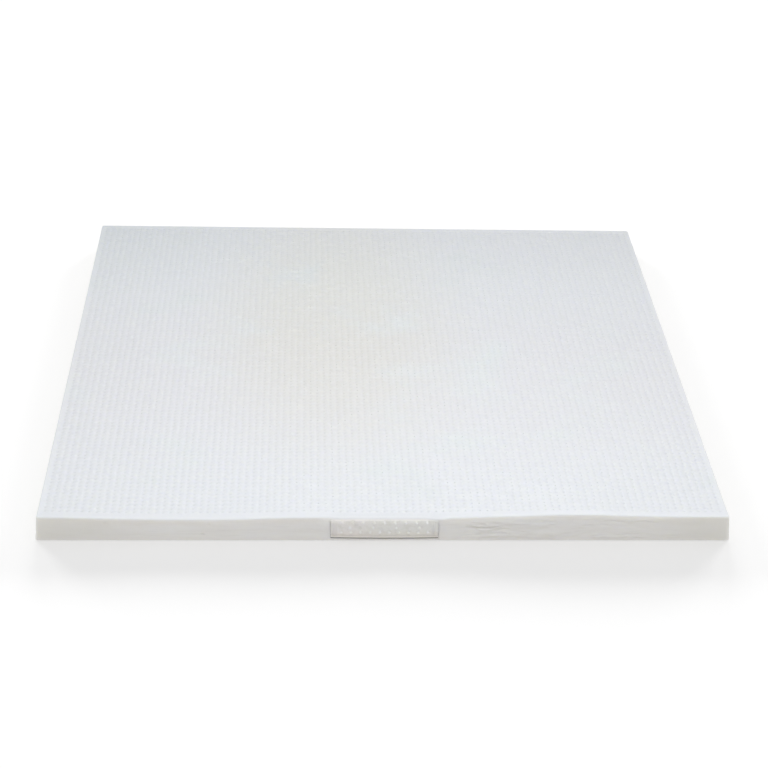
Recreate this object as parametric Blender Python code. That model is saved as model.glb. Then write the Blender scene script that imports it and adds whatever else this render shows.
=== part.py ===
"""Mattress topper: a bare natural latex slab with a moulded label plate let into its front face.

Metres, +Z up. The origin lies on the underside, midway across and along. The front face, which
holds the label plate, looks along -Y. The slab lies flat, and its top sags and swells along the
front rim, as soft foam does.
"""

import bpy
import bmesh
from mathutils import Matrix, Vector

# Slab
TOP_WIDTH = 1.800              # left to right, at the top
SIDE_SPREAD = 0.0045           # the underside reaches this much further out on each side
LENGTH = 2.000                 # front of the label plate to the back edge, on the left
BACK_SKEW = 0.012              # the right side is shorter by this
THICKNESS = 0.070
BACK_TWIST = 0.0025            # back left corner higher by this, back right corner lower
TOP_ROUNDING = 0.004           # radius of the rim round the top
BASE_ROUNDING = 0.002          # radius round the underside
CORNER_RADIUS = 0.006          # the four upright corners
ROUND_SEGMENTS = 4

# The front rim, from left to right. "rim" is how far the edge of the top is raised there, and
# "inside" how far the surface is raised a little further in, where the pin holes begin.
FRONT_RIM = (
    {"across": -0.905, "rim": -0.0008, "inside": 0.0000},
    {"across": -0.836, "rim": -0.0004, "inside": -0.0004},
    {"across": -0.660, "rim": -0.0046, "inside": -0.0042},
    {"across": -0.478, "rim": -0.0056, "inside": -0.0039},
    {"across": -0.374, "rim": -0.0046, "inside": -0.0025},
    {"across": -0.271, "rim": -0.0009, "inside": 0.0002},
    {"across": -0.195, "rim": 0.0004, "inside": 0.0017},
    {"across": -0.155, "rim": -0.0004, "inside": 0.0008},
    {"across": -0.126, "rim": -0.0052, "inside": 0.0001},
    {"across": -0.095, "rim": -0.0054, "inside": -0.0001},
    {"across": 0.095, "rim": -0.0054, "inside": -0.0001},
    {"across": 0.124, "rim": -0.0058, "inside": 0.0002},
    {"across": 0.150, "rim": -0.0046, "inside": 0.0006},
    {"across": 0.175, "rim": -0.0010, "inside": 0.0011},
    {"across": 0.351, "rim": 0.0035, "inside": 0.0036},
    {"across": 0.480, "rim": 0.0082, "inside": 0.0055},
    {"across": 0.665, "rim": 0.0034, "inside": 0.0014},
    {"across": 0.769, "rim": 0.0020, "inside": 0.0003},
    {"across": 0.905, "rim": 0.0026, "inside": 0.0000},
)
RIM_REACH = 0.040              # the rim's own sag has gone this far in from the front face
WAVE_REACH = 0.300             # and the longer wave of the surface this far in
CUTS_PER_ROW = 2               # sections between one row of the table and the next
SECTIONS_BACK = (0.010, 0.020, 0.030, 0.040, 0.080, 0.140, 0.210, 0.300)
PLAIN_SECTIONS = 8             # even sections from there to the back

# Label plate
PLATE_WIDTH = 0.280
PLATE_TOP = 0.0600             # height of its upper edge over the base
PLATE_END_FOOT = 0.0108        # height of its lower edge at both ends
PLATE_BOW = 0.0016             # the lower edge hangs this much lower in the middle
PLATE_THICKNESS = 0.0040
PLATE_PROUD = 0.0018           # stands this far out of the slab's front face
PLATE_EDGE = 0.0007            # bevel round its front
PLATE_STEPS = 14               # straight pieces along the bowed edge
FIT_GAP = 0.0003               # clear space between plate and pocket
POCKET_OVERSHOOT = 0.010       # how far the cutter sticks out of the front face

FRONT_FACE = -LENGTH / 2 + PLATE_PROUD
BACK_LEFT = LENGTH / 2
SLAB_LENGTH = BACK_LEFT - FRONT_FACE


def clear_scene():
    for old in list(bpy.data.objects):
        bpy.data.objects.remove(old)


def make_material(name, colour, roughness):
    material = bpy.data.materials.new(name)
    material.use_nodes = True
    shader = material.node_tree.nodes["Principled BSDF"]
    shader.inputs["Base Color"].default_value = (*colour, 1.0)
    shader.inputs["Roughness"].default_value = roughness
    shader.inputs["Metallic"].default_value = 0.0
    return material


def add_object(name, bm, material):
    mesh = bpy.data.meshes.new(name)
    bm.to_mesh(mesh)
    bm.free()
    obj = bpy.data.objects.new(name, mesh)
    bpy.context.scene.collection.objects.link(obj)
    if material:
        mesh.materials.append(material)
    return obj


def rim_slope(row, column):
    """Slope of the rim line at one row of the table, from its two neighbours."""
    before = FRONT_RIM[max(row - 1, 0)]
    after = FRONT_RIM[min(row + 1, len(FRONT_RIM) - 1)]
    return (after[column] - before[column]) / (after["across"] - before["across"])


def rim_value(across, column):
    """A smooth line through the table's rows."""
    row = 0
    while row < len(FRONT_RIM) - 2 and across > FRONT_RIM[row + 1]["across"]:
        row += 1
    left, right = FRONT_RIM[row], FRONT_RIM[row + 1]
    span = right["across"] - left["across"]
    t = min(max((across - left["across"]) / span, 0.0), 1.0)
    start = left[column] + span * t * rim_slope(row, column)
    end = right[column] - span * (1 - t) * rim_slope(row + 1, column)
    blend = t * t * (3 - 2 * t)
    return start * (1 - blend) + end * blend


def fade(distance, reach):
    """1 at the front face, easing to 0 at that reach."""
    t = min(max(1 - distance / reach, 0.0), 1.0)
    return t * t * (3 - 2 * t)


def top_rise(across, back):
    """How far the top is raised at a place, given the distance back from the front face."""
    inside = rim_value(across, "inside")
    rim = rim_value(across, "rim") - inside
    twist = -BACK_TWIST * across / (TOP_WIDTH / 2) * (back / SLAB_LENGTH) ** 2
    return rim * fade(back, RIM_REACH) + inside * fade(back - RIM_REACH, WAVE_REACH) + twist


def cut_section(bm, point, normal):
    everything = bm.verts[:] + bm.edges[:] + bm.faces[:]
    bmesh.ops.bisect_plane(bm, geom=everything, plane_co=point, plane_no=normal)


def section_places():
    """Where the slab is cut into sections across, and how far back the cuts along it lie."""
    across = []
    for left, right in zip(FRONT_RIM, FRONT_RIM[1:]):
        step = (right["across"] - left["across"]) / CUTS_PER_ROW
        across += [left["across"] + step * k for k in range(CUTS_PER_ROW)]
    last = SECTIONS_BACK[-1]
    step = (SLAB_LENGTH - last) / PLAIN_SECTIONS
    back = list(SECTIONS_BACK) + [last + step * k for k in range(1, PLAIN_SECTIONS)]
    return across[1:], back


def is_upright(edge):
    return abs((edge.verts[0].co - edge.verts[1].co).normalized().z) > 0.9


def slab_block():
    """A plain block with its corners and its two rims rounded."""
    bm = bmesh.new()
    middle = Vector((0, FRONT_FACE + SLAB_LENGTH / 2, THICKNESS / 2))
    size = Matrix.Diagonal((TOP_WIDTH, SLAB_LENGTH, THICKNESS, 1))
    bmesh.ops.create_cube(bm, size=1.0, matrix=Matrix.Translation(middle) @ size)
    corners = [e for e in bm.edges if is_upright(e)]
    bmesh.ops.bevel(bm, geom=corners, offset=CORNER_RADIUS, segments=ROUND_SEGMENTS, profile=0.5,
                    affect="EDGES")
    for height, radius in ((0.0, BASE_ROUNDING), (THICKNESS, TOP_ROUNDING)):
        rim = [e for e in bm.edges if all(abs(v.co.z - height) < 1e-6 for v in e.verts)]
        bmesh.ops.bevel(bm, geom=rim, offset=radius, segments=ROUND_SEGMENTS, profile=0.5,
                        affect="EDGES", clamp_overlap=True)
    return bm


def shape_slab(bm):
    """Moves every point of the block to where it lies on the soft slab."""
    for v in bm.verts:
        across, back, height = v.co.x, v.co.y - FRONT_FACE, v.co.z
        share = height / THICKNESS
        side = across / (TOP_WIDTH / 2)
        v.co.z += top_rise(across, back) * share
        v.co.x += SIDE_SPREAD * side * (1 - share)
        v.co.y -= BACK_SKEW * (side + 1) / 2 * back / SLAB_LENGTH


def smooth(mesh):
    mesh.shade_smooth()
    mesh.set_sharp_from_angle(angle=0.7)


def make_slab(material):
    bm = slab_block()
    across, back = section_places()
    for place in across:
        cut_section(bm, Vector((place, 0, 0)), Vector((1, 0, 0)))
    for place in back:
        cut_section(bm, Vector((0, FRONT_FACE + place, 0)), Vector((0, 1, 0)))
    underside = [f for f in bm.faces if f.normal.z < -0.999]
    bmesh.ops.dissolve_faces(bm, faces=underside)
    shape_slab(bm)
    obj = add_object("topper", bm, material)
    smooth(obj.data)
    return obj


def plate_outline(grow):
    """The plate's outline seen from the front, anticlockwise, grown on all sides."""
    half = PLATE_WIDTH / 2 + grow
    points = []
    for k in range(PLATE_STEPS + 1):
        side = -1 + 2 * k / PLATE_STEPS
        foot = PLATE_END_FOOT - PLATE_BOW * (1 - side * side) - grow
        points.append((side * half, foot))
    points.append((half, PLATE_TOP + grow))
    points.append((-half, PLATE_TOP + grow))
    return points


def plate_solid(grow, front, back):
    """The outline as a bar from one depth to the other."""
    bm = bmesh.new()
    outline = [bm.verts.new((x, front, z)) for x, z in plate_outline(grow)]
    face = bm.faces.new(outline)
    sides = bmesh.ops.extrude_face_region(bm, geom=[face])
    moved = [g for g in sides["geom"] if isinstance(g, bmesh.types.BMVert)]
    bmesh.ops.translate(bm, verts=moved, vec=(0, back - front, 0))
    bmesh.ops.recalc_face_normals(bm, faces=bm.faces[:])
    return bm


def make_plate(material):
    front = FRONT_FACE - PLATE_PROUD
    bm = plate_solid(0.0, front, front + PLATE_THICKNESS)
    rim = [e for e in bm.edges if all(abs(v.co.y - front) < 1e-6 for v in e.verts)]
    bmesh.ops.bevel(bm, geom=rim, offset=PLATE_EDGE, segments=2, profile=0.5, affect="EDGES")
    obj = add_object("label_plate", bm, material)
    smooth(obj.data)
    return obj


def cut_pocket(slab):
    """The shallow pocket in the front face that holds the plate."""
    floor = FRONT_FACE - PLATE_PROUD + PLATE_THICKNESS + FIT_GAP
    bm = plate_solid(FIT_GAP, FRONT_FACE - POCKET_OVERSHOOT, floor)
    cutter = add_object("pocket_cutter", bm, None)
    cutter.display_type = "WIRE"
    cutter.hide_render = True
    pocket = slab.modifiers.new("label pocket", "BOOLEAN")
    pocket.operation = "DIFFERENCE"
    pocket.solver = "EXACT"
    pocket.object = cutter


def main():
    clear_scene()
    latex = make_material("latex", (0.84, 0.86, 0.88), 0.75)
    plate_rubber = make_material("plate_rubber", (0.72, 0.71, 0.68), 0.6)
    slab = make_slab(latex)
    cut_pocket(slab)
    make_plate(plate_rubber)


main()
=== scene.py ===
import math
import random

import bpy
from mathutils import Matrix, Vector, noise


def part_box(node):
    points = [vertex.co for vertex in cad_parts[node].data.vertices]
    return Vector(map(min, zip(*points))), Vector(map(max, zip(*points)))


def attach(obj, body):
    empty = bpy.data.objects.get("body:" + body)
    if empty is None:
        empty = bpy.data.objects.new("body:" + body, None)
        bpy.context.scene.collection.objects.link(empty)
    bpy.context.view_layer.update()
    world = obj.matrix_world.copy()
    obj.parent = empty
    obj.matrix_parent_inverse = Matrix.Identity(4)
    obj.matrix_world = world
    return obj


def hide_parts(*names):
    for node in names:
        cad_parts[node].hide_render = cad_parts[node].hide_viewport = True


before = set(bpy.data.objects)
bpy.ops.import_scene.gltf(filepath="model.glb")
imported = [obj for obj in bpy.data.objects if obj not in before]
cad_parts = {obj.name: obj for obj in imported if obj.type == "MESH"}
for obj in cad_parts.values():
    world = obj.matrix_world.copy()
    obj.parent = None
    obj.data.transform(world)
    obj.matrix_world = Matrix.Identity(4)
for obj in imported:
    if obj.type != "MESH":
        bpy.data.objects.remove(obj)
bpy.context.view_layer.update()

slabLow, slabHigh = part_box("topper")
plateLow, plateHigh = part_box("label_plate")
print("frame loaded")

photoView = {
    "imageWidth": 768,           # pixels
    "focalLength": 2138.97,      # in the same pixels
    "sensor": 36.0,              # mm
    "place": (-0.20921, -5.81523, 2.82597),
    "downTilt": 26.1882,         # degrees
    "turnRight": 2.3750,
    "roll": 1.2125,
    "farthest": 200,             # metres
}


def makeCamera():
    data = bpy.data.cameras.new("photoCamera")
    data.sensor_width = photoView["sensor"]
    data.lens = photoView["focalLength"] * photoView["sensor"] / photoView["imageWidth"]
    data.clip_end = photoView["farthest"]
    camera = bpy.data.objects.new("photoCamera", data)
    bpy.context.scene.collection.objects.link(camera)
    turn = Matrix.Rotation(-math.radians(photoView["turnRight"]), 3, "Z")
    tilt = Matrix.Rotation(math.radians(90 - photoView["downTilt"]), 3, "X")
    roll = Matrix.Rotation(math.radians(photoView["roll"]), 3, "Z")
    camera.rotation_euler = (turn @ tilt @ roll).to_euler()
    camera.location = photoView["place"]
    bpy.context.scene.camera = camera


makeCamera()
print("camera placed")

closeness = {
    "same": 0.00002,             # metres within which two places count as one
    "weld": 0.00005,             # and within which the copies in a row are joined
    "slack": 0.0001,             # play that a test of a face's or a point's place has
}
facing = {
    "straight": 0.99,            # the least share of a normal that points the way that is meant
    "nearly": 0.97,
    "mostly": 0.9,
    "atAll": 0.02,
    "upright": 0.01,             # the most that an upright face's normal points up or down
}


def leaveEdit():
    bpy.ops.object.mode_set(mode="OBJECT")


def selectAll():
    bpy.ops.mesh.select_all(action="SELECT")


def deselectAll():
    if bpy.context.object and bpy.context.object.mode != "OBJECT":
        leaveEdit()
    bpy.ops.object.select_all(action="DESELECT")


def workOn(obj):
    deselectAll()
    obj.select_set(True)
    bpy.context.view_layer.objects.active = obj


def pick(obj, kind, test):
    # selects what passes the test and nothing else, and leaves edit mode on
    bpy.ops.object.mode_set(mode="EDIT")
    bpy.ops.mesh.select_mode(type=kind)
    bpy.ops.mesh.select_all(action="DESELECT")
    leaveEdit()
    mesh = obj.data
    if kind == "VERT":
        for v in mesh.vertices:
            v.select = test(v.co)
    elif kind == "EDGE":
        for e in mesh.edges:
            a, b = e.vertices
            e.select = test(mesh.vertices[a].co, mesh.vertices[b].co)
    else:
        for f in mesh.polygons:
            f.select = test(f.center, f.normal)
    bpy.ops.object.mode_set(mode="EDIT")


def settle(obj):
    # the finished piece sits at the origin, with its place in its mesh
    workOn(obj)
    bpy.ops.object.transform_apply(location=True, rotation=True, scale=True)


def repeat(obj, count, step):
    array = obj.modifiers.new("row", "ARRAY")
    array.use_relative_offset = False
    array.use_constant_offset = True
    array.constant_offset_displace = step
    array.count = count
    array.use_merge_vertices = True
    array.merge_threshold = closeness["weld"]
    workOn(obj)
    bpy.ops.object.modifier_apply(modifier=array.name)


def roundSelected(offset, segments):
    bpy.ops.mesh.bevel(affect="EDGES", offset=offset, segments=segments, profile=0.5)


def near(a, b):
    return abs(a - b) < closeness["same"]


slab = {
    "topWidth": 1.800,
    "sideSpread": 0.0045,        # the underside reaches this much further out on each side
    "front": slabLow.y,
    "back": slabHigh.y,
    "thickness": 0.070,
    "backSkew": 0.012,           # the right side is shorter by this
    "backTwist": 0.0025,         # back left corner up and back right corner down by this
    "topRounding": 0.004,
    "baseRounding": 0.002,
    "cornerRadius": 0.006,
    "roundSegments": 4,
    "baseSegments": 2,
    "smoothBelow": 50,           # degrees
    "rimReach": 0.040,           # the rim's own sag has gone this far back
    "waveReach": 0.300,          # and the longer wave of the surface this far behind that
    "rimCuts": (0.008, 0.012, 0.018, 0.025),    # the top is cut across this far behind the front
    "rimCutsEnd": 0.030,         # but no face is cut whose middle is further back than this
    "frontRows": 10,             # level bands on the front face, before they are halved
    "sideRows": 3,
    "sideStart": 0.006,          # they run round the sides and the back from this far behind the front
    "markCuts": 2,               # and each face near a mark is cut this often again
}
slab["edge"] = slab["topWidth"] / 2
slab["length"] = slab["back"] - slab["front"]

# how far the front rim, and the surface a little behind it, are raised from left to right
frontRim = (
    {"across": -0.905, "rim": -0.0008, "inside": 0.0000},
    {"across": -0.836, "rim": -0.0004, "inside": -0.0004},
    {"across": -0.660, "rim": -0.0046, "inside": -0.0042},
    {"across": -0.478, "rim": -0.0056, "inside": -0.0039},
    {"across": -0.374, "rim": -0.0046, "inside": -0.0025},
    {"across": -0.271, "rim": -0.0009, "inside": 0.0002},
    {"across": -0.195, "rim": 0.0004, "inside": 0.0017},
    {"across": -0.155, "rim": -0.0004, "inside": 0.0008},
    {"across": -0.126, "rim": -0.0052, "inside": 0.0001},
    {"across": -0.095, "rim": -0.0054, "inside": -0.0001},
    {"across": 0.095, "rim": -0.0054, "inside": -0.0001},
    {"across": 0.124, "rim": -0.0058, "inside": 0.0002},
    {"across": 0.150, "rim": -0.0046, "inside": 0.0006},
    {"across": 0.175, "rim": -0.0010, "inside": 0.0011},
    {"across": 0.351, "rim": 0.0045, "inside": 0.0040},
    {"across": 0.480, "rim": 0.0088, "inside": 0.0057},
    {"across": 0.665, "rim": 0.0052, "inside": 0.0018},
    {"across": 0.769, "rim": 0.0032, "inside": 0.0003},
    {"across": 0.905, "rim": 0.0030, "inside": 0.0000},
)

pins = {
    "columns": 93,
    "rows": 102,
    "radius": 0.0045,
    "depth": 0.0046,
    "wander": 0.0004,            # each hole is a little off its place
    "unlike": 0.10,              # and a little wider or narrower than the next
    "dice": 1009,                # keeps the draws of one column apart from the next one's
    "reach": 1.01,               # times the radius, within which a point belongs to a hole
    "edgeReach": 1.05,           # times the radius, within which a mouth is closed at the outline
    "lowest": 0.01,              # points below this height belong to no hole
}
pins["pitch"] = slab["topWidth"] / (pins["columns"] + 1)
pins["firstX"] = pins["pitch"] - slab["edge"]
pins["firstY"] = (slab["front"] + slab["back"] - pins["pitch"] * (pins["rows"] - 1)) / 2


# small dents, a slit and three short creases in the front face, each a soft trough between two ends
frontMarks = (
    {"startX": -0.726, "startZ": 0.0565, "endX": -0.722, "endZ": 0.0560, "deep": 0.0016, "wide": 0.0032},
    {"startX": -0.461, "startZ": 0.0540, "endX": -0.456, "endZ": 0.0535, "deep": 0.0016, "wide": 0.0032},
    {"startX": -0.477, "startZ": 0.0218, "endX": -0.467, "endZ": 0.0222, "deep": 0.0034, "wide": 0.0014},
    {"startX": -0.513, "startZ": 0.0065, "endX": -0.509, "endZ": 0.0060, "deep": 0.0014, "wide": 0.0024},
    {"startX": 0.208, "startZ": 0.0430, "endX": 0.240, "endZ": 0.0378, "deep": 0.0026, "wide": 0.0026},
    {"startX": 0.240, "startZ": 0.0376, "endX": 0.278, "endZ": 0.0366, "deep": 0.0054, "wide": 0.0023},
    {"startX": 0.216, "startZ": 0.0455, "endX": 0.262, "endZ": 0.0500, "deep": 0.0022, "wide": 0.0028},
)
markReach = 0.007                # the faces within this of a mark are cut finer for it
skinWaves = {
    "swell": 0.0009,             # long soft unevenness of the upright faces, in metres
    "swellSize": 0.16,
    "swellMiddle": 0.5,          # the sides and the back are drawn in by this share of it on average
    "frontSwellSize": 0.12,
    "topSwell": 0.0006,
    "topSwellSize": 0.19,
    "topFade": 0.05,             # the top is even at the front and the back, and uneven from this far in
    "footFade": 0.012,           # the upright faces are even at their foot
    "rimFade": 0.008,            # and at their upper edge
    "seatEnd": 0.150,            # the label's seat stays flat
    "seatFade": 0.05,
    "wrinkle": 0.0036,           # fine creases right of the label
    "wrinkleStart": 0.150,
    "wrinkleRise": 0.05,
    "wrinkleEnd": 0.880,
    "wrinkleFade": 0.300,
    "wrinkleLength": 0.048,
    "wrinkleHeight": 0.0105,
    "wrinkleWidth": 0.24,        # how much of the noise on both sides of nought makes a crease
    "wrinkleClear": 0.006,       # there is none within this of the upper edge
    "wrinkleRimFade": 0.012,
    "wrinkleFootFade": 0.006,
    "patchMiddle": 0.62,         # they come in patches
    "patchSwing": 1.4,
    "patchPerMetre": (9, 25),
}
# these keep the patterns apart
noiseSeeds = {"top": 2.6, "front": 5.3, "side": 1.7, "back": 3.9, "wrinkle": 4.2, "patch": 8.1}


def smoothStep(t):
    t = min(max(t, 0.0), 1.0)
    return t * t * (3 - 2 * t)


def rimSlope(row, column):
    before = frontRim[max(row - 1, 0)]
    after = frontRim[min(row + 1, len(frontRim) - 1)]
    return (after[column] - before[column]) / (after["across"] - before["across"])


def rimValue(across, column):
    row = 0
    while row < len(frontRim) - 2 and across > frontRim[row + 1]["across"]:
        row += 1
    left, right = frontRim[row], frontRim[row + 1]
    span = right["across"] - left["across"]
    t = min(max((across - left["across"]) / span, 0.0), 1.0)
    start = left[column] + span * t * rimSlope(row, column)
    end = right[column] - span * (1 - t) * rimSlope(row + 1, column)
    blend = smoothStep(t)
    return start * (1 - blend) + end * blend


def topRise(across, behind):
    twist = -slab["backTwist"] * across / slab["edge"] * (behind / slab["length"]) ** 2
    if behind > slab["rimReach"] + slab["waveReach"]:
        return twist
    inside = rimValue(across, "inside")
    rim = rimValue(across, "rim") - inside
    nearRim = smoothStep(1 - behind / slab["rimReach"])
    nearWave = smoothStep(1 - (behind - slab["rimReach"]) / slab["waveReach"])
    return rim * nearRim + inside * nearWave + twist


def makePinSheet():
    # the square between four pin holes, with a quarter of a mouth at each corner, set out in rows
    pitch, top = pins["pitch"], slab["thickness"]
    middle = Vector((pins["firstX"] - pitch / 2, pins["firstY"] - pitch / 2, top))
    deselectAll()
    bpy.ops.mesh.primitive_plane_add(size=pitch, location=middle)
    sheet = bpy.context.object
    sheet.name = "topper_foam"
    settle(sheet)
    bpy.ops.object.mode_set(mode="EDIT")
    selectAll()
    bpy.ops.mesh.bevel(affect="VERTICES", offset=pins["radius"], segments=2, profile=0.5)
    leaveEdit()
    for v in sheet.data.vertices:            # the cuts become true arcs round the corners
        away = v.co - middle
        corner = middle + Vector((math.copysign(pitch / 2, away.x),
                                  math.copysign(pitch / 2, away.y), 0))
        v.co = corner + (v.co - corner).normalized() * pins["radius"]
    repeat(sheet, pins["columns"] + 1, (pitch, 0, 0))
    repeat(sheet, pins["rows"] + 1, (0, pitch, 0))
    return sheet


def closeOuterMouths(sheet):
    # the mouths that the sheet's edge cuts through are drawn shut, and its edge goes out to the slab's
    edge, reach, pitch = slab["edge"], pins["radius"] * pins["edgeReach"], pins["pitch"]
    front, back = pins["firstY"] - pitch, pins["firstY"] + pins["rows"] * pitch

    def atEdge(co):
        return abs(co.x) > edge - reach or co.y < front + reach or co.y > back - reach

    pick(sheet, "EDGE", lambda a, b: (a - b).length < reach and atEdge(a) and atEdge(b))
    bpy.ops.mesh.merge(type="COLLAPSE")
    flattenings = (
        (lambda co: co.x < reach - edge, (0, 1, 1), (-edge, 0, 0)),
        (lambda co: co.x > edge - reach, (0, 1, 1), (edge, 0, 0)),
        (lambda co: co.y < front + reach, (1, 0, 1), (0, slab["front"], 0)),
        (lambda co: co.y > back - reach, (1, 0, 1), (0, slab["back"], 0)),
    )
    for test, factors, place in flattenings:
        pick(sheet, "VERT", test)
        bpy.ops.transform.resize(value=factors, center_override=place)
    leaveEdit()


def sinkWells(sheet):
    # every mouth is drawn down and closed at its own middle
    pick(sheet, "EDGE", lambda a, b: (a - b).length < pins["radius"])
    bpy.ops.mesh.extrude_edges_move(TRANSFORM_OT_translate={"value": (0, 0, -pins["depth"])})
    bpy.ops.mesh.merge(type="COLLAPSE")
    leaveEdit()


def onOutline(a, b):
    # an edge along one of the four sides of the slab
    sides = (near(a.x, slab["edge"]) and near(b.x, slab["edge"]),
             near(a.x, -slab["edge"]) and near(b.x, -slab["edge"]),
             near(a.y, slab["front"]) and near(b.y, slab["front"]),
             near(a.y, slab["back"]) and near(b.y, slab["back"]))
    return any(sides)


def drawDownSides(sheet):
    pick(sheet, "EDGE", onOutline)
    bpy.ops.mesh.extrude_edges_move(TRANSFORM_OT_translate={"value": (0, 0, -slab["thickness"])})
    bpy.ops.mesh.edge_face_add()
    selectAll()
    bpy.ops.mesh.normals_make_consistent(inside=False)
    leaveEdit()


def isUprightCorner(a, b):
    upright = abs(a.z - b.z) > slab["thickness"] * facing["mostly"]
    atEnd = near(a.y, slab["front"]) or near(a.y, slab["back"])
    return upright and near(abs(a.x), slab["edge"]) and atEnd


def roundEdges(body):
    pick(body, "EDGE", isUprightCorner)
    roundSelected(slab["cornerRadius"], slab["roundSegments"])
    pick(body, "FACE", lambda place, normal: normal.z > facing["atAll"])      # the top with its wells
    bpy.ops.mesh.region_to_loop()
    roundSelected(slab["topRounding"], slab["roundSegments"])
    pick(body, "FACE", lambda place, normal: normal.z < -facing["mostly"])
    bpy.ops.mesh.region_to_loop()
    roundSelected(slab["baseRounding"], slab["baseSegments"])
    leaveEdit()


def bisectAt(body, test, places, axis):
    pick(body, "FACE", test)
    for place in places:
        point = [0, 0, 0]
        point[axis] = place
        normal = [0, 0, 0]
        normal[axis] = 1
        bpy.ops.mesh.bisect(plane_co=point, plane_no=normal)
        pick(body, "FACE", test)
    leaveEdit()


def isFront(place, normal):
    return normal.y < -facing["straight"]


def isBehindRim(place, normal):
    return normal.z > facing["mostly"] and place.y < slab["front"] + slab["rimCutsEnd"]


def isWrinkled(place, normal):
    return isFront(place, normal) and skinWaves["wrinkleStart"] < place.x < skinWaves["wrinkleEnd"]


def isSideOrBack(place, normal):
    upright = abs(normal.z) < facing["upright"] and normal.y > -facing["straight"]
    return upright and place.y > slab["front"] + slab["sideStart"]


def cutForShape(body):
    # cuts where the rim sags and where the sides are a little uneven
    low, high = slab["baseRounding"], slab["thickness"] - slab["topRounding"]
    bisectAt(body, isBehindRim, [slab["front"] + behind for behind in slab["rimCuts"]], 1)
    rows = slab["frontRows"]
    bisectAt(body, isFront, [low + (high - low) * k / rows for k in range(1, rows)], 2)
    pick(body, "FACE", isFront)
    bpy.ops.mesh.subdivide(number_cuts=1)
    leaveEdit()
    step = (high - low) / rows / 2
    bisectAt(body, isWrinkled, [low + step * (k + 0.5) for k in range(rows * 2)], 2)
    pick(body, "FACE", nearFrontMark)
    bpy.ops.mesh.subdivide(number_cuts=slab["markCuts"])
    leaveEdit()
    rows = slab["sideRows"]
    bisectAt(body, isSideOrBack, [low + (high - low) * k / rows for k in range(1, rows)], 2)


def markDistance(mark, across, height):
    start = Vector((mark["startX"], mark["startZ"]))
    along = Vector((mark["endX"], mark["endZ"])) - start
    place = Vector((across, height)) - start
    share = min(max(place.dot(along) / along.length_squared, 0), 1)
    return (place - along * share).length


def nearFrontMark(place, normal):
    if normal.y > -facing["straight"]:
        return False
    return any(markDistance(mark, place.x, place.z) < markReach for mark in frontMarks)


def pressedIn(across, height):
    # how far the front face lies back at a place, from its marks and its fine wrinkles
    waves, top = skinWaves, slab["thickness"] - skinWaves["wrinkleClear"]
    deep = sum(mark["deep"] * math.exp(-(markDistance(mark, across, height) / mark["wide"]) ** 2)
               for mark in frontMarks)
    inside = smoothStep((across - waves["wrinkleStart"]) / waves["wrinkleRise"])
    inside *= smoothStep((waves["wrinkleEnd"] - across) / waves["wrinkleFade"])
    inside *= (smoothStep((top - height) / waves["wrinkleRimFade"])
               * smoothStep(height / waves["wrinkleFootFade"]))
    if inside > 0:
        place = (across / waves["wrinkleLength"], height / waves["wrinkleHeight"], noiseSeeds["wrinkle"])
        line = max(0, 1 - abs(noise.noise(Vector(place))) / waves["wrinkleWidth"])
        perAcross, perHeight = waves["patchPerMetre"]
        patch = noise.noise(Vector((across * perAcross, height * perHeight, noiseSeeds["patch"])))
        patchy = smoothStep(waves["patchMiddle"] + waves["patchSwing"] * patch)
        deep += waves["wrinkle"] * line * inside * patchy
    return deep


def swell(x, y, z, size, seed):
    return noise.noise(Vector((x / size, y / size, z / size + noiseSeeds[seed])))


def holeShift(x, y, z, chances):
    # how far a point moves with its pin hole, since no hole is quite in its place or like the next
    pitch, reach = pins["pitch"], pins["radius"] * pins["reach"]
    column = round((x - pins["firstX"]) / pitch)
    row = round((y - pins["firstY"]) / pitch)
    dx = x - pins["firstX"] - column * pitch
    dy = y - pins["firstY"] - row * pitch
    isHole = 0 <= column < pins["columns"] and 0 <= row < pins["rows"] and z > pins["lowest"]
    if not isHole or dx * dx + dy * dy >= reach * reach:
        return 0, 0
    if (column, row) not in chances:
        dice = random.Random(column * pins["dice"] + row)
        chances[column, row] = [dice.uniform(-1, 1) for k in range(3)]
    wanderX, wanderY, grow = chances[column, row]
    return (wanderX * pins["wander"] + dx * grow * pins["unlike"],
            wanderY * pins["wander"] + dy * grow * pins["unlike"])


def unevenSkin(x, y, z):
    # where a point of the block lies once its faces swell and its front has its marks
    waves, behind = skinWaves, y - slab["front"]
    soft = smoothStep(behind / waves["topFade"])
    soft *= smoothStep((slab["length"] - behind) / waves["topFade"])
    z += waves["topSwell"] * (z / slab["thickness"]) * soft * swell(x, y, 0, waves["topSwellSize"], "top")
    lift = smoothStep(z / waves["footFade"]) * smoothStep((slab["thickness"] - z) / waves["rimFade"])
    deep, size = waves["swell"] * lift, waves["swellSize"]
    if behind < closeness["slack"]:
        clear = smoothStep((abs(x) - waves["seatEnd"]) / waves["seatFade"])
        y += pressedIn(x, z) + deep * clear * max(0, swell(x, 0, z, waves["frontSwellSize"], "front"))
    elif near(abs(x), slab["edge"]):
        x -= math.copysign(deep * (waves["swellMiddle"] + swell(x, y, z, size, "side")), x)
    elif near(y, slab["back"]):
        y -= deep * (waves["swellMiddle"] + swell(x, 0, z, size, "back"))
    return x, y, z


def bendToSlab(obj):
    # moves every point of the straight-sided block to where it lies on the soft slab
    chances = {}
    for v in obj.data.vertices:
        x, y, z = v.co
        moveX, moveY = holeShift(x, y, z, chances)
        x, y = x + moveX, y + moveY
        behind, side, share = y - slab["front"], x / slab["edge"], z / slab["thickness"]
        x, y, z = unevenSkin(x, y, z)
        v.co = (x + slab["sideSpread"] * side * (1 - share),
                y - slab["backSkew"] * (side + 1) / 2 * behind / slab["length"],
                z + topRise(x, behind) * share)


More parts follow.
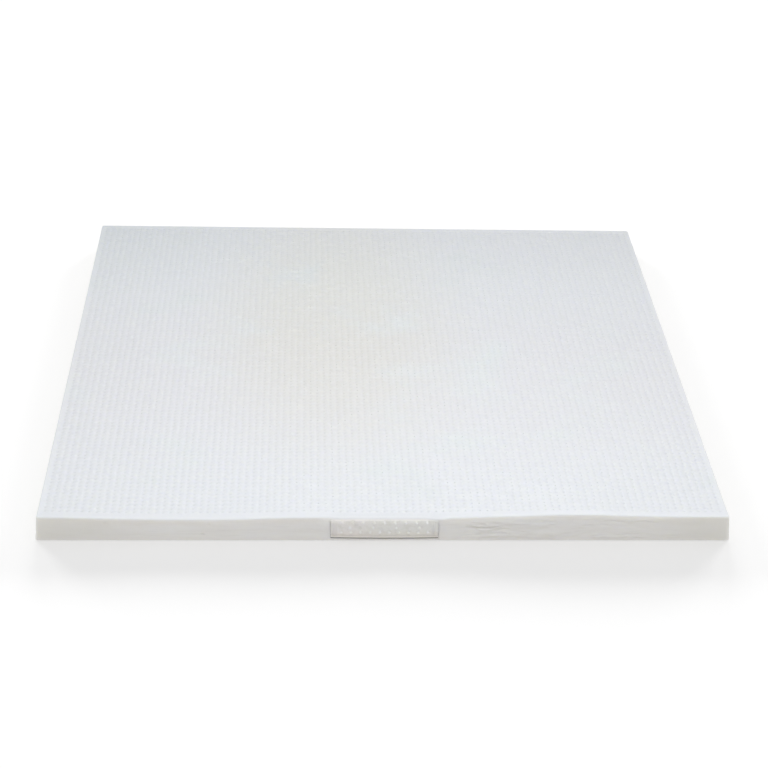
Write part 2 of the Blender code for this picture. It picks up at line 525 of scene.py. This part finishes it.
# over the label the upper edge of the foam, and of the label with it, is worn round
wornEdge = {
    "middle": -0.012,
    "full": 0.110,               # on both sides of that
    "gone": 0.155,
    "high": 0.016,
    "deep": 0.0070,
    "fade": 0.016,
    "sharpness": 1.7,            # the higher, the more of the wear is at the edge itself
}


def wornBack(across, behind, height):
    # how far the surface lies back there
    away = abs(across - wornEdge["middle"]) - wornEdge["full"]
    worn = 1 - smoothStep(away / (wornEdge["gone"] - wornEdge["full"]))
    inward = smoothStep((behind - slab["topRounding"]) / wornEdge["fade"])
    down = (slab["thickness"] + topRise(across, 0) - height) / wornEdge["high"]
    down = min(max(down, 0), 1)
    return wornEdge["deep"] * worn * (1 - inward) * (1 - down) ** wornEdge["sharpness"]


label = {
    "halfWidth": plateHigh.x,
    "top": plateHigh.z,
    "front": plateLow.y,
    "thickness": plateHigh.y - plateLow.y,
    "bow": 0.0016,               # the lower edge hangs this much lower in the middle
    "fit": 0.0003,               # clear space round it in its pocket
    "seam": 0.0034,              # the seat gapes this far under it, where a dark line shows
    "steps": 28,
    "seatMargin": 0.012,         # the cuts for the seat's edges run on this far past its ends
    "bowEnd": 0.030,             # up to this height the face round it follows the bow, less and less
    "edgeRounding": 0.0009,
    "edgeSegments": 3,
    "smoothBelow": 35,           # degrees
    "border": 0.0021,            # a slightly raised frame runs round the field
    "fieldSink": 0.0003,
    "fieldSlope": 4,             # its inner side is this many times as wide as it is high
    "cuts": (0.0034, 0.0046, 0.0060, 0.0080, 0.0105, 0.0130, 0.0155),    # up from the lower edge
    "topCuts": (0.0105, 0.0085, 0.0065, 0.0045, 0.0025),                 # and down from the upper one
    "lipHeight": 0.0034,         # a hollow runs along above the lower lip
    "hollowHeight": 0.0060,
    "hollowEnd": 0.0155,
    "hollow": 0.0016,
    "hollowDepth": 0.0012,       # it is full this far behind the front, and gone at the back
    "ribSize": (0.0022, 0.0036, 0.0400),
    "ribProud": (0.0005, 0.0015),            # worn flat on the left, full on the right
    "ribInset": (0.0065, 0.0107, 0.0150),    # in from both ends
    "ribDrop": 0.0004,           # they stand this much below the middle
    "ribRounding": 0.32,         # of their width
    "pipRadius": 0.0042,
    "pipFaces": (20, 12),        # round it and from end to end
    "pipBow": 0.3,               # the rows bow by this share of the lower edge's bow
    "pipHeight": (0.0012, 0.0032),
    "pipRows": ({"pips": 9, "drop": 0.0066, "pitch": 0.0275},
                {"pips": 4, "drop": 0.0205, "pitch": 0.0600},
                {"pips": 10, "drop": 0.0340, "pitch": 0.0250}),
}
label["endFoot"] = plateLow.z + label["bow"]
label["pocketDepth"] = label["front"] + label["thickness"] + label["fit"] - slab["front"]


def labelDroop(across):
    return label["bow"] * (1 - min(abs(across) / label["halfWidth"], 1) ** 2)


def labelSetBack(across, height):
    # how far the label's front lies back at a place
    above = height - label["endFoot"] + labelDroop(across)
    lip, deepest, end = label["lipHeight"], label["hollowHeight"], label["hollowEnd"]
    hollow = smoothStep((above - lip) / (deepest - lip)) * smoothStep((end - above) / (end - deepest))
    return label["hollow"] * hollow


def sinkPocket(body):
    # the seat of the label in the front face, with its bowed lower edge
    half, top = label["halfWidth"] + label["fit"], label["top"] + label["fit"]
    foot, low, high = label["endFoot"] - label["seam"], slab["baseRounding"], label["bowEnd"]
    front, slack = slab["front"], closeness["slack"]

    def isRoundSeat(place, normal):
        return normal.y < -facing["nearly"] and abs(place.x) < half + label["seatMargin"]

    for axis, places in ((0, (-half, half)), (2, (foot, top))):
        bisectAt(body, isRoundSeat, places, axis)
    for v in body.data.vertices:
        x, y, z = v.co
        if abs(x) <= half + slack and y < front + slack and low < z < high:
            drop = labelDroop(x)
            fade = (z - low) / (foot - low) if z < foot else (high - z) / (high - foot)
            v.co.z = z - drop * fade

    def isSeat(place, normal):
        bottom = foot - labelDroop(place.x) - slack
        return normal.y < -facing["nearly"] and abs(place.x) < half and bottom < place.z < top

    pick(body, "FACE", isSeat)
    bpy.ops.mesh.extrude_region_move(TRANSFORM_OT_translate={"value": (0, label["pocketDepth"], 0)})
    leaveEdit()


def makeFoam():
    body = makePinSheet()
    closeOuterMouths(body)
    sinkWells(body)
    drawDownSides(body)
    roundEdges(body)
    cutForShape(body)
    bendToSlab(body)
    sinkPocket(body)
    for v in body.data.vertices:
        v.co.y += wornBack(v.co.x, v.co.y - slab["front"], v.co.z)
    workOn(body)
    bpy.ops.object.shade_smooth_by_angle(angle=math.radians(slab["smoothBelow"]))
    return body


foam = makeFoam()
print("foam made:", len(foam.data.polygons), "faces", len(foam.data.vertices), "points")


def makePlateBody():
    # a strip of squares facing forward, given the bowed outline and drawn back to its thickness
    deselectAll()
    bpy.ops.mesh.primitive_grid_add(x_subdivisions=label["steps"], y_subdivisions=1, size=2,
                                    rotation=(math.radians(90), 0, 0))
    body = bpy.context.object
    body.name = "label_strip"
    settle(body)
    for v in body.data.vertices:
        across = v.co.x * label["halfWidth"]
        height = label["top"] if v.co.z > 0 else label["endFoot"] - labelDroop(across)
        v.co = (across, label["front"], height)
    bpy.ops.object.mode_set(mode="EDIT")
    selectAll()
    bpy.ops.mesh.extrude_region_move(TRANSFORM_OT_translate={"value": (0, label["thickness"], 0)})
    selectAll()
    bpy.ops.mesh.normals_make_consistent(inside=False)
    pick(body, "FACE", lambda place, normal: normal.y < -facing["mostly"])
    bpy.ops.mesh.region_to_loop()
    roundSelected(label["edgeRounding"], label["edgeSegments"])
    pick(body, "FACE", isFront)
    bpy.ops.mesh.inset(thickness=label["border"], depth=0)
    bpy.ops.mesh.inset(thickness=label["fieldSink"] * label["fieldSlope"], depth=-label["fieldSink"])
    leaveEdit()
    heights = [label["endFoot"] + up for up in label["cuts"]]
    heights += [label["top"] - down for down in label["topCuts"]]
    bisectAt(body, lambda place, normal: True, heights, 2)
    return body


def copyOf(obj, place):
    workOn(obj)
    bpy.ops.object.duplicate(linked=False)
    copy = bpy.context.object
    copy.location = place
    return copy


def makeRibs():
    # upright ribs at both ends of the field
    width, depth, height = label["ribSize"]
    field = label["front"] + label["fieldSink"] + depth / 2
    middle = (label["top"] + label["endFoot"]) / 2 - label["ribDrop"]
    deselectAll()
    bpy.ops.mesh.primitive_cube_add(size=1, scale=(width, depth, height))
    rib = bpy.context.object
    bpy.ops.object.transform_apply(location=False, rotation=False, scale=True)
    pick(rib, "EDGE", lambda a, b: True)
    roundSelected(width * label["ribRounding"], label["edgeSegments"])
    leaveEdit()
    ribs = [copyOf(rib, (side * (label["halfWidth"] - inset), field - proud, middle))
            for inset in label["ribInset"] for side, proud in zip((-1, 1), label["ribProud"])]
    bpy.data.objects.remove(rib)
    return ribs


def makePips():
    # three rows of plain round pips, worn flat on the left
    field = label["front"] + label["fieldSink"]
    around, rings = label["pipFaces"]
    flat, full = label["pipHeight"]
    deselectAll()
    bpy.ops.mesh.primitive_uv_sphere_add(segments=around, ring_count=rings, radius=label["pipRadius"])
    pip = bpy.context.object
    pips = []
    for row in label["pipRows"]:
        for k in range(row["pips"]):
            across = (k - (row["pips"] - 1) / 2) * row["pitch"]
            share = (across / label["halfWidth"] + 1) / 2
            height = label["top"] - row["drop"] - labelDroop(across) * label["pipBow"]
            copy = copyOf(pip, (across, field, height))
            copy.scale.y = (flat * (1 - share) + full * share) / label["pipRadius"]
            pips.append(copy)
    bpy.data.objects.remove(pip)
    return pips


def makeLabel():
    body = makePlateBody()
    relief = makeRibs() + makePips()
    deselectAll()
    for obj in relief:
        obj.select_set(True)
    bpy.context.view_layer.objects.active = relief[0]
    bpy.ops.object.join()
    union = body.modifiers.new("relief", "BOOLEAN")
    union.operation = "UNION"
    union.object = relief[0]
    workOn(body)
    bpy.ops.object.modifier_apply(modifier=union.name)
    bpy.ops.object.mode_set(mode="EDIT")
    selectAll()
    bpy.ops.mesh.remove_doubles(threshold=closeness["same"])
    leaveEdit()
    bpy.data.objects.remove(relief[0])
    settle(body)
    full = label["hollowDepth"]
    for v in body.data.vertices:
        depth = (v.co.y - label["front"] - full) / (label["thickness"] - full)
        v.co.y += labelSetBack(v.co.x, v.co.z) * (1 - smoothStep(depth))
        v.co.y += wornBack(v.co.x, 0, v.co.z)
    bpy.ops.object.shade_smooth_by_angle(angle=math.radians(label["smoothBelow"]))
    return body


strip = makeLabel()
print("label made:", len(strip.data.polygons), "faces")


latexLook = {
    "top": (0.782, 0.804, 0.838),        # cool white skin
    "topWarm": (0.770, 0.780, 0.765),    # a yellower patch in the middle
    "warmPlace": (-0.12, 0.25, 0.07),
    "warmReach": (0.52, 1.25, 1.0),
    "handled": (0.967, 0.950, 0.947),    # the middle is a little dull all across
    "handledPlace": (0.0, -0.18, 0.07),
    "handledReach": (2.6, 0.80, 1.0),
    "topGrey": (0.745, 0.785, 0.815),    # the back left corner is greyer
    "greyPlace": (-0.95, 1.05, 0.07),
    "greyReach": (0.75, 0.75, 0.75),
    "patchFull": 0.8,                    # the warm and the handled patch are full where they rise to this
    "topDull": (0.752, 0.790, 0.806),    # faint cloudy stains
    "clouds": {"scale": 4.5, "detail": 5, "from": 0.52, "to": 0.80},
    "specks": {"scale": 75, "detail": 3, "from": 0.50, "to": 0.75},
    "speckStrength": 0.35,
    "side": (0.930, 0.914, 0.893),       # the upright faces are a warmer cream, and painted lighter than the top to make up for the less light they get
    "sideDull": (0.895, 0.875, 0.845),
    "sideBands": {"scale": (5, 5, 45), "detail": 4, "from": 0.35, "to": 0.70},
    "sideEndShade": (0.828, 0.815, 0.775),    # painted shade, greyer towards the corners
    "sideEndShadeFrom": 0.55,                 # metres from the middle
    "sideEndShadeTo": 0.95,
    "sideLine": (0.860, 0.842, 0.815),   # fine level lines of dust
    "sideLines": {"scale": (9, 9, 190), "detail": 3, "from": 0.54, "to": 0.72},
    "lineStrength": 0.6,
    "foot": (0.840, 0.824, 0.802),       # painted shade, darker low down towards the foot
    "footShadeHeight": 0.016,
    "footShadeStrength": 0.6,
    "well": (0.950, 0.950, 0.948),       # painted shade, the pin holes darker deep inside
    "wellFrom": 0.02,
    "wellTo": 0.50,
    "seam": (0.230, 0.215, 0.195),       # painted shadow in the gap of the label's seat
    "scatter": (0.010, 0.010, 0.009),    # metres that light travels in the foam
    "thinScatter": 0.15,                 # how little of it is left in the thin rim over the label
    "roughness": (0.70, 0.82),
    "gloss": {"scale": 30, "detail": 4, "from": 0.35, "to": 0.65},
    "pores": {"scale": 620, "from": 0.05, "to": 0.55, "deep": 0.00022, "strength": 0.7},
    "lumps": {"scale": 46, "detail": 4, "deep": 0.0009},
    "streaks": {"scale": (30, 30, 330), "detail": 4, "deep": 0.0010},
}


def newMaterial(name, colour, roughness):
    material = bpy.data.materials.new(name)
    material.use_nodes = True
    shader = material.node_tree.nodes["Principled BSDF"]
    shader.inputs["Base Color"].default_value = (*colour, 1)
    shader.inputs["Roughness"].default_value = roughness
    return material


class Wiring:
    # short ways to add and join a material's nodes
    def __init__(self, material):
        self.nodes, self.links = material.node_tree.nodes, material.node_tree.links
        self.shader = self.nodes["Principled BSDF"]
        self.place = self.nodes.new("ShaderNodeTexCoord").outputs["Object"]

    def join(self, source, node, name):
        self.links.new(source, node.inputs[name])

    def attribute(self, name):
        node = self.nodes.new("ShaderNodeAttribute")
        node.attribute_name = name
        return node.outputs["Fac"]

    def mapped(self, scale, kind="POINT", location=(0, 0, 0)):
        node = self.nodes.new("ShaderNodeMapping")
        node.vector_type = kind
        node.inputs["Location"].default_value = location
        node.inputs["Scale"].default_value = scale
        self.join(self.place, node, "Vector")
        return node.outputs["Vector"]

    def noise(self, look):
        # three scales in place of one stretch it
        stretched = isinstance(look["scale"], tuple)
        node = self.nodes.new("ShaderNodeTexNoise")
        node.inputs["Scale"].default_value = 1 if stretched else look["scale"]
        node.inputs["Detail"].default_value = look["detail"]
        self.join(self.mapped(look["scale"]) if stretched else self.place, node, "Vector")
        return node.outputs["Fac"]

    def spread(self, value, low, high, first=0.0, last=1.0):
        node = self.nodes.new("ShaderNodeMapRange")
        node.interpolation_type = "SMOOTHSTEP"
        for name, number in zip(("From Min", "From Max", "To Min", "To Max"), (low, high, first, last)):
            node.inputs[name].default_value = number
        self.join(value, node, "Value")
        return node.outputs["Result"]

    def blotches(self, look, first=0.0, last=1.0):
        return self.spread(self.noise(look), look["from"], look["to"], first, last)

    def product(self, a, b):
        node = self.nodes.new("ShaderNodeMath")
        node.operation = "MULTIPLY"
        self.links.new(a, node.inputs[0])
        if isinstance(b, float):
            node.inputs[1].default_value = b
        else:
            self.links.new(b, node.inputs[1])
        return node.outputs["Value"]

    def mix(self, factor, first, second):
        # first and second are each a colour or a socket
        node = self.nodes.new("ShaderNodeMix")
        node.data_type = "RGBA"
        self.join(factor, node, "Factor")
        for name, colour in (("A", first), ("B", second)):
            if isinstance(colour, tuple):
                node.inputs[name].default_value = (*colour, 1)
            else:
                self.join(colour, node, name)
        return node.outputs["Result"]

    def dim(self, factor, colour, by):
        # the colour is multiplied by another where the factor is 1
        node = self.nodes.new("ShaderNodeMix")
        node.data_type = "RGBA"
        node.blend_type = "MULTIPLY"
        self.join(factor, node, "Factor")
        self.join(colour, node, "A")
        node.inputs["B"].default_value = (*by, 1)
        return node.outputs["Result"]

    def patch(self, reach, place):
        # 1 at a place, falling to 0 at that reach
        ball = self.nodes.new("ShaderNodeTexGradient")
        ball.gradient_type = "SPHERICAL"
        self.join(self.mapped(reach, "TEXTURE", place), ball, "Vector")
        return ball.outputs["Fac"]

    def bump(self, height, distance, before=None, strength=1.0):
        node = self.nodes.new("ShaderNodeBump")
        node.inputs["Distance"].default_value = distance
        node.inputs["Strength"].default_value = strength
        self.join(height, node, "Height")
        if before:
            self.join(before, node, "Normal")
        return node.outputs["Normal"]


def topColour(w):
    full = latexLook["patchFull"]
    warm = w.spread(w.patch(latexLook["warmReach"], latexLook["warmPlace"]), 0.0, full)
    top = w.mix(warm, latexLook["top"], latexLook["topWarm"])
    handled = w.spread(w.patch(latexLook["handledReach"], latexLook["handledPlace"]), 0.0, full)
    top = w.dim(handled, top, latexLook["handled"])
    top = w.mix(w.patch(latexLook["greyReach"], latexLook["greyPlace"]), top, latexLook["topGrey"])
    top = w.mix(w.blotches(latexLook["clouds"]), top, latexLook["topDull"])
    specks = w.product(w.blotches(latexLook["specks"]), latexLook["speckStrength"])
    top = w.mix(specks, top, latexLook["topDull"])
    # painted shade deep in the pin holes
    wellShade = w.spread(w.attribute("well"), latexLook["wellFrom"], latexLook["wellTo"])
    return w.dim(wellShade, top, latexLook["well"])


def sideColour(w):
    side = w.mix(w.blotches(latexLook["sideBands"]), latexLook["side"], latexLook["sideDull"])
    lines = w.product(w.blotches(latexLook["sideLines"]), latexLook["lineStrength"])
    side = w.mix(lines, side, latexLook["sideLine"])
    split = w.nodes.new("ShaderNodeSeparateXYZ")
    w.join(w.place, split, "Vector")
    far = w.nodes.new("ShaderNodeMath")
    far.operation = "ABSOLUTE"
    w.links.new(split.outputs["X"], far.inputs[0])
    # painted shade: the upright faces greyer towards both ends
    end = w.spread(far.outputs["Value"], latexLook["sideEndShadeFrom"], latexLook["sideEndShadeTo"])
    side = w.mix(end, side, latexLook["sideEndShade"])
    # painted shade: the upright faces darker towards their foot
    low = w.spread(split.outputs["Z"], latexLook["footShadeHeight"], 0.0, 0.0, latexLook["footShadeStrength"])
    return w.mix(low, side, latexLook["foot"])


def latexRelief(w, sideness):
    look, lumps, streaks = latexLook["pores"], latexLook["lumps"], latexLook["streaks"]
    pores = w.nodes.new("ShaderNodeTexVoronoi")
    pores.inputs["Scale"].default_value = look["scale"]
    w.join(w.place, pores, "Vector")
    holes = w.spread(pores.outputs["Distance"], look["from"], look["to"])
    relief = w.bump(w.noise(lumps), lumps["deep"])
    relief = w.bump(holes, look["deep"], relief, look["strength"])
    return w.bump(w.product(w.noise(streaks), sideness), streaks["deep"], relief)


def makeLatex():
    latex = newMaterial("latexFoam", latexLook["top"], latexLook["roughness"][0])
    w = Wiring(latex)
    sideness = w.attribute("sideness")
    scatter = w.spread(w.attribute("thin"), 0, 1, 1.0, latexLook["thinScatter"])
    w.join(scatter, w.shader, "Subsurface Weight")
    w.shader.inputs["Subsurface Radius"].default_value = latexLook["scatter"]
    w.shader.inputs["Subsurface Scale"].default_value = 1.0
    # the upright faces take the side colour: a warmer cream, painted lighter than the top to make up for
    # less light
    skin = w.mix(sideness, topColour(w), sideColour(w))
    # painted shadow in the gap under the label
    w.join(w.mix(w.attribute("seam"), skin, latexLook["seam"]), w.shader, "Base Color")
    w.join(w.blotches(latexLook["gloss"], *latexLook["roughness"]), w.shader, "Roughness")
    w.join(latexRelief(w, sideness), w.shader, "Normal")
    return latex


# where the marks begin and end that the foam's material reads
foamMarks = {
    "sideDrop": 0.006,           # the top's skin turns into the side's within this below the top
    "outline": 0.014,            # and within this of the outline, outside all the pin holes
    "wellDepths": (0.003, 0.010),    # a pin hole's bottom lies between these below the top
    "seatDepths": (0.002, 0.004),    # and the seat's back wall between these behind the front
    "seatMargin": 0.001,
    "seatTop": 0.020,            # the painted shadow in it lies below this height
    "thinMargin": 0.012,         # the thin rim reaches this far past the label's ends
    "thinMarginFade": 0.014,
    "thinBack": 0.034,           # this far behind the front
    "thinBackFade": 0.016,
    "thinDown": 0.004,           # and this far below the label's upper edge
}


def markFoam(obj):
    # 1 on the upright faces, at the bottom of each pin hole, in the label's seat and in the rim over it
    names, marks = ("sideness", "well", "seam", "thin"), foamMarks
    (wellFrom, wellTo), (seatFrom, seatTo) = marks["wellDepths"], marks["seatDepths"]
    for name in names:
        obj.data.attributes.new(name, "FLOAT", "POINT")
    sideness, well, seam, thin = [obj.data.attributes[name].data for name in names]
    for v in obj.data.vertices:
        behind = v.co.y - slab["front"]
        drop = slab["thickness"] + topRise(v.co.x, behind) - v.co.z
        inward = min(slab["edge"] + slab["sideSpread"] - abs(v.co.x), behind, slab["back"] - v.co.y)
        atOutline = smoothStep(drop / marks["sideDrop"]) if inward < marks["outline"] else 0.0
        sideness[v.index].value = atOutline
        well[v.index].value = float(inward > marks["outline"] and wellFrom < drop < wellTo)
        seated = seatFrom < behind < seatTo and abs(v.co.x) < label["halfWidth"] + marks["seatMargin"]
        seam[v.index].value = float(seated and v.co.z < marks["seatTop"])
        end, above = label["halfWidth"] + marks["thinMargin"], v.co.z - label["top"] + marks["thinDown"]
        over = smoothStep((end - abs(v.co.x)) / marks["thinMarginFade"])
        over *= (smoothStep((marks["thinBack"] - behind) / marks["thinBackFade"])
                 * smoothStep(above / marks["thinDown"]))
        thin[v.index].value = over


rubberLook = {
    "field": (0.890, 0.885, 0.855),
    "fieldWarm": (0.920, 0.890, 0.865),  # towards the left end
    "warmFrom": 0.02,
    "warmTo": -0.10,
    "raised": (0.960, 0.960, 0.940),     # painted highlight, what stands out is paler
    "raisedFrom": 0.0002,                # metres in front of the frame
    "raisedTo": 0.0009,
    "grime": (0.760, 0.750, 0.710),
    "grimeBlots": {"scale": 60, "detail": 4, "from": 0.45, "to": 0.75},
    "grimeStrength": 0.7,
    # painted highlight on the lower lip
    "lip": (0.970, 0.955, 0.935),
    "lipFades": (0.0012, -0.0004),       # from above its top to below it
    "shadedLow": (0.955, 0.925, 0.895),   # painted shade, lower down it is darker and a little yellower
    "shadedLowFrom": 0.036,
    "shadedLowTo": 0.014,
    "scatter": (0.003, 0.003, 0.0025),
    "scatterWeight": 0.6,
    "roughness": (0.50, 0.68),
    "gloss": {"scale": 70, "detail": 3, "from": 0.35, "to": 0.65},
    "lumps": {"scale": 90, "detail": 3, "deep": 0.0005},
    "grain": {"scale": 900, "detail": 2, "deep": 0.00010},
}


def makeRubber():
    rubber = newMaterial("plateRubber", rubberLook["field"], rubberLook["roughness"][0])
    w = Wiring(rubber)
    w.shader.inputs["Subsurface Weight"].default_value = rubberLook["scatterWeight"]
    w.shader.inputs["Subsurface Radius"].default_value = rubberLook["scatter"]
    w.shader.inputs["Subsurface Scale"].default_value = 1.0
    split = w.nodes.new("ShaderNodeSeparateXYZ")
    w.join(w.place, split, "Vector")
    leftness = w.spread(split.outputs["X"], rubberLook["warmFrom"], rubberLook["warmTo"])
    field = w.mix(leftness, rubberLook["field"], rubberLook["fieldWarm"])
    grime = w.product(w.blotches(rubberLook["grimeBlots"]), rubberLook["grimeStrength"])
    field = w.mix(grime, field, rubberLook["grime"])
    # painted highlight on what stands out in front of the frame
    raised = [label["front"] - rubberLook[name] for name in ("raisedFrom", "raisedTo")]
    colour = w.mix(w.spread(split.outputs["Y"], *raised), field, rubberLook["raised"])
    # painted highlight: the lower lip paler
    lip = [label["endFoot"] + label["lipHeight"] + fade for fade in rubberLook["lipFades"]]
    colour = w.mix(w.spread(split.outputs["Z"], *lip), colour, rubberLook["lip"])
    # painted shade: the label darker lower down
    low = w.spread(split.outputs["Z"], rubberLook["shadedLowFrom"], rubberLook["shadedLowTo"])
    w.join(w.dim(low, colour, rubberLook["shadedLow"]), w.shader, "Base Color")
    w.join(w.blotches(rubberLook["gloss"], *rubberLook["roughness"]), w.shader, "Roughness")
    relief = w.bump(w.noise(rubberLook["lumps"]), rubberLook["lumps"]["deep"])
    relief = w.bump(w.noise(rubberLook["grain"]), rubberLook["grain"]["deep"], relief)
    w.join(relief, w.shader, "Normal")
    return rubber


def wear(obj, material):
    obj.data.materials.clear()
    obj.data.materials.append(material)


markFoam(foam)
wear(foam, makeLatex())
wear(strip, makeRubber())
print("materials made")

# where each side of the foam lies in the square that its colours are baked to
bakeMap = {
    "top": {"corner": (0.005, 0.005), "scale": (0.42, 0.42)},
    "front": {"corner": (0.005, 0.860), "scale": (0.54, 0.54)},
    "back": {"corner": (0.005, 0.915), "scale": (0.54, 0.54)},
    "left": {"corner": (0.780, 0.005), "scale": (0.42, 0.42)},
    "right": {"corner": (0.822, 0.005), "scale": (0.42, 0.42)},
    "underside": {"corner": (0.865, 0.005), "scale": (0.068, 0.42)},
}
sideTests = {
    "topNormal": 0.6,            # a face that looks up more than this is part of the top
    "undersideNormal": 0.7,
    "backInset": 0.013,          # the back lies about this far inside the slab's box on the right
    "wellInset": 0.006,          # a face further in than this, and higher than that,
    "wellHeight": 0.008,         # is part of the top, as every well is
}


def sideOf(place, normal):
    # which side a face belongs to; the wells all belong to the top
    back = slab["back"] - sideTests["backInset"]
    inward = min(slab["edge"] - abs(place.x), place.y - slab["front"], back - place.y)
    isWell = inward > sideTests["wellInset"] and place.z > sideTests["wellHeight"]
    if isWell or normal.z > sideTests["topNormal"]:
        return "top"
    if normal.z < -sideTests["undersideNormal"]:
        return "underside"
    if abs(normal.y) > abs(normal.x):
        return "front" if place.y < 0 else "back"
    return "left" if place.x < 0 else "right"


def mapForBake(obj):
    layer = obj.data.uv_layers.new(name="OFBake")
    low = Vector((-slab["edge"] - slab["sideSpread"], slab["front"], 0))
    for face in obj.data.polygons:
        side = sideOf(face.center, face.normal)
        (u, v), (scaleU, scaleV) = bakeMap[side]["corner"], bakeMap[side]["scale"]
        for corner in face.loop_indices:
            away = obj.data.vertices[obj.data.loops[corner].vertex_index].co - low
            if side in ("top", "underside"):
                across, up = away.x, away.y
            elif side in ("front", "back"):
                across, up = away.x, away.z
            else:
                across, up = away.z, away.y
            layer.data[corner].uv = (u + across * scaleU, v + up * scaleV)


mapForBake(foam)

studio = {
    "white": (1, 1, 1, 1),
    "skyOverhead": 0.74,         # what the pale surroundings send onto the object
    "skyLow": 0.38,
    "backdrop": 1.0,             # and how bright they look
    "floorColour": (0.90, 0.90, 0.90),
    "floorRoughness": 0.9,
    "floorGlow": 0.23,
    "floorSize": 120,
    "floorPlace": (0, 0, -0.0004),
    "keyPower": 34.8,            # watts
    "keySize": (2.4, 1.2),
    "keyPlace": (0.12, -0.64, 2.6),
    "keyColour": (1.0, 1.0, 1.0),
    "sunStrength": 1.43,
    "sunRise": 12.0,             # degrees above the floor, from behind the object
    "sunSpread": 20.0,
    "sunTurns": (-30.0, 0.0, 30.0),
}


def makeFloor():
    deselectAll()
    bpy.ops.mesh.primitive_plane_add(size=studio["floorSize"], location=studio["floorPlace"])
    floor = bpy.context.object
    floor.name = "studioFloor"
    paper = newMaterial("paleFloor", studio["floorColour"], studio["floorRoughness"])
    shader = paper.node_tree.nodes["Principled BSDF"]
    shader.inputs["Specular IOR Level"].default_value = 0.0
    shader.inputs["Emission Color"].default_value = studio["white"]
    shader.inputs["Emission Strength"].default_value = studio["floorGlow"]
    floor.data.materials.append(paper)
    return floor


def makeSky():
    world = bpy.data.worlds.new("studioSky")
    bpy.context.scene.world = world
    world.use_nodes = True
    nodes, links = world.node_tree.nodes, world.node_tree.links
    direction = nodes.new("ShaderNodeTexCoord")
    split = nodes.new("ShaderNodeSeparateXYZ")
    height = nodes.new("ShaderNodeMapRange")
    height.inputs["To Min"].default_value = studio["skyLow"]
    height.inputs["To Max"].default_value = studio["skyOverhead"]
    links.new(direction.outputs["Generated"], split.inputs["Vector"])
    links.new(split.outputs["Z"], height.inputs["Value"])
    glow = nodes["Background"]
    glow.inputs["Color"].default_value = studio["white"]
    links.new(height.outputs["Result"], glow.inputs["Strength"])
    seen = nodes.new("ShaderNodeBackground")
    seen.inputs["Color"].default_value = studio["white"]
    seen.inputs["Strength"].default_value = studio["backdrop"]
    rays = nodes.new("ShaderNodeLightPath")
    choose = nodes.new("ShaderNodeMixShader")
    links.new(rays.outputs["Is Camera Ray"], choose.inputs["Fac"])
    links.new(glow.outputs["Background"], choose.inputs[1])
    links.new(seen.outputs["Background"], choose.inputs[2])
    links.new(choose.outputs["Shader"], nodes["World Output"].inputs["Surface"])


def makeLamp(name, kind, power, receivers):
    data = bpy.data.lights.new(name, kind)
    data.energy = power
    lamp = bpy.data.objects.new(name, data)
    bpy.context.scene.collection.objects.link(lamp)
    lit = bpy.data.collections.new(name + "Lights")
    for receiver in receivers:
        lit.objects.link(receiver)
    lamp.light_linking.receiver_collection = lit
    return lamp


def makeLamps(floor, pieces):
    key = makeLamp("overheadSoftbox", "AREA", studio["keyPower"], pieces)
    key.data.shape = "RECTANGLE"
    key.data.size, key.data.size_y = studio["keySize"]
    key.data.color = studio["keyColour"]
    key.location = studio["keyPlace"]
    # the low lights from behind only draw the soft shadow on the floor in front of the slab
    for turn in studio["sunTurns"]:
        sun = makeLamp("lowBackLight", "SUN", studio["sunStrength"], [floor])
        sun.data.angle = math.radians(studio["sunSpread"])
        sun.rotation_euler = (math.radians(studio["sunRise"] - 90), 0, math.radians(turn))


floor = makeFloor()
makeSky()
makeLamps(floor, [foam, strip])
bpy.context.scene.view_settings.view_transform = "Standard"
print("floor and lights placed")

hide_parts("topper")
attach(foam, "root")
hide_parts("label_plate")
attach(strip, "root")
